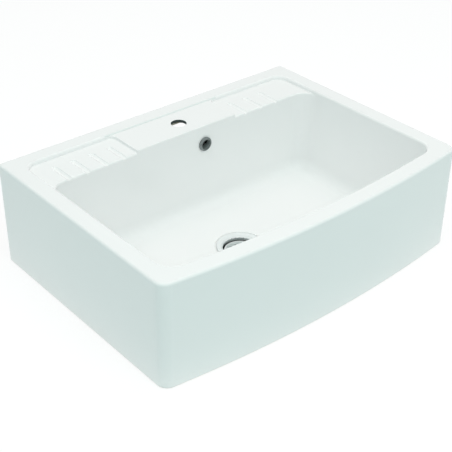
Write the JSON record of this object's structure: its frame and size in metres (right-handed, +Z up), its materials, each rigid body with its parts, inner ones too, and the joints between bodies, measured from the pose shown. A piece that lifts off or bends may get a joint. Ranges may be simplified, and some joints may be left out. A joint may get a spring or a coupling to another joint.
{
  "type": "butler sink",
  "caption": "Bow-fronted glazed fireclay butler sink with a raised tap deck, fluted drainers, an overflow and a lift-out basket strainer waste.",
  "frame": {"origin": "on the waste axis, in the plane of the sink's foot that rests on the base unit", "axes": "+X to the right seen from the front, +Y to the wall behind the sink, +Z up"},
  "size_m": [0.8, 0.59, 0.315],
  "materials": {
    "glaze": "white gloss glaze on fireclay",
    "steel": "polished pressed stainless steel",
    "chrome": "bright chrome plate",
    "rubber": "matt black rubber",
    "plastic": "moulded pale grey polypropylene",
    "brass": "turned brass"
  },
  "bodies": {
    "sink": {"sink_body": "glaze", "strainer_cup": "steel", "cup_seal": "rubber", "clamp_screw": "steel", "screw_insert": "brass", "waste_body": "plastic", "body_seal": "rubber", "overflow_rosette": "chrome", "overflow_gasket": "rubber", "overflow_screw": "steel", "overflow_elbow": "plastic", "elbow_seal": "rubber", "overflow_pipe": "plastic", "upper_pipe_nut": "plastic", "upper_pipe_seal": "rubber", "lower_pipe_nut": "plastic", "lower_pipe_seal": "rubber"},
    "basket": {"strainer_basket": "steel", "basket_stem": "steel", "basket_knob": "chrome", "basket_bung": "rubber", "bung_washer": "steel", "stem_nut": "steel"}
  },
  "joints": [
    {"name": "basket_lift", "type": "slide", "parent": "sink", "child": "basket", "axis": [0, 0, 1], "range_m": [0, 0.28]}
  ]
}
